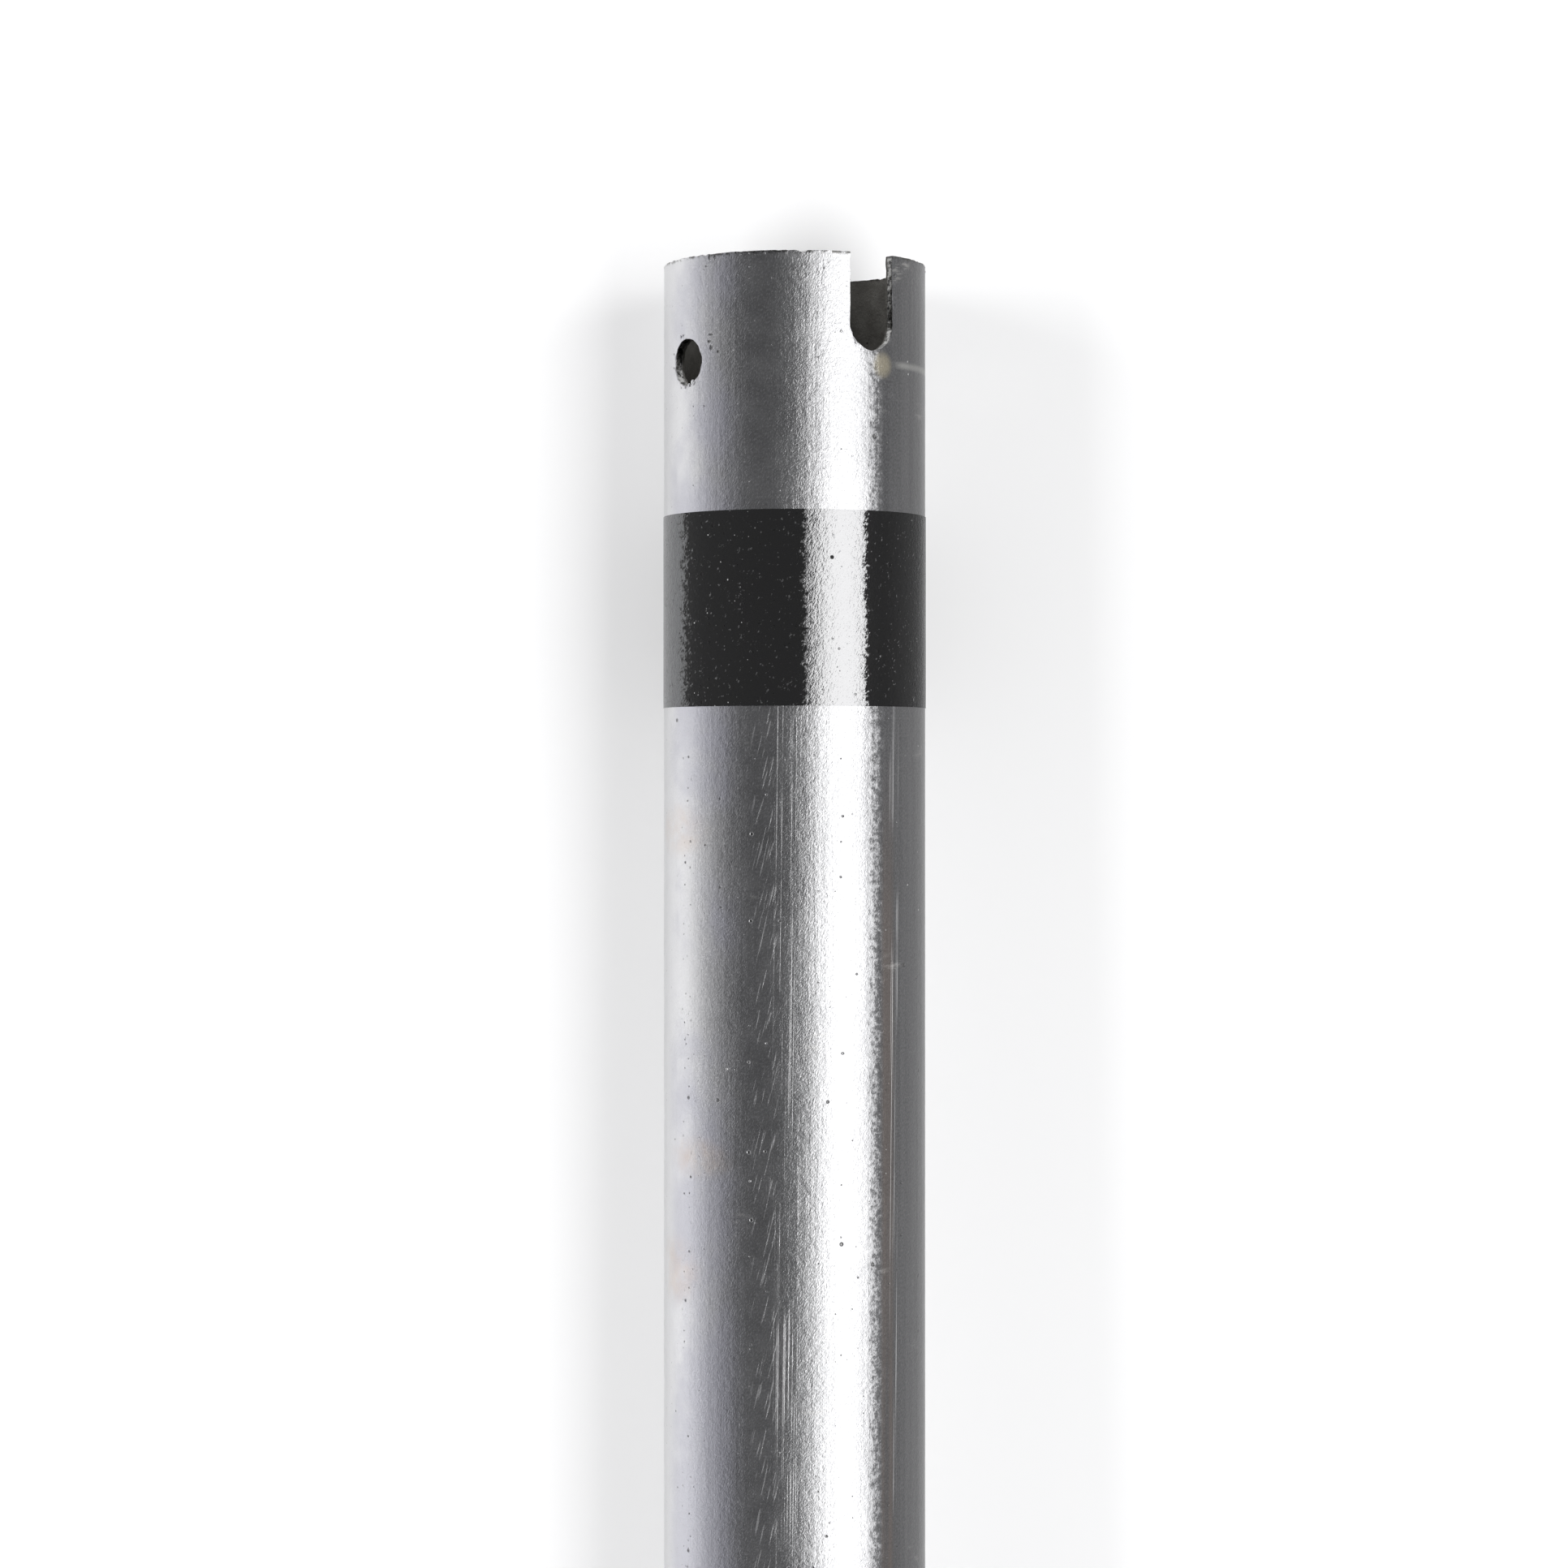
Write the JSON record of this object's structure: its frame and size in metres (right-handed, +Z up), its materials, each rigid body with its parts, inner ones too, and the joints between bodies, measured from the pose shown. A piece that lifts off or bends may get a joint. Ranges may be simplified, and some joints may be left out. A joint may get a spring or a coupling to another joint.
{
  "type": "foundation ground screw",
  "caption": "Galvanised steel ground screw: a slotted tube head over a slender cone with a welded helical blade, driven into soil to carry a post or frame.",
  "frame": {"origin": "below the middle of its box, on the floor that the screw lies on", "axes": "+X along the screw towards its open head, +Z up; the axis dips a little towards the head, as the blade lifts it"},
  "size_m": [1.2007, 0.1066, 0.1068],
  "materials": {
    "galvanised_tube": "hot-dip galvanised, handling scratches",
    "galvanised_blade": "hot-dip galvanised over a weld",
    "black_vinyl": "gloss vinyl wrap, no print"
  },
  "bodies": {
    "root": {"tube": "galvanised_tube", "thread": "galvanised_blade", "label_band": "black_vinyl"}
  },
  "joints": []
}
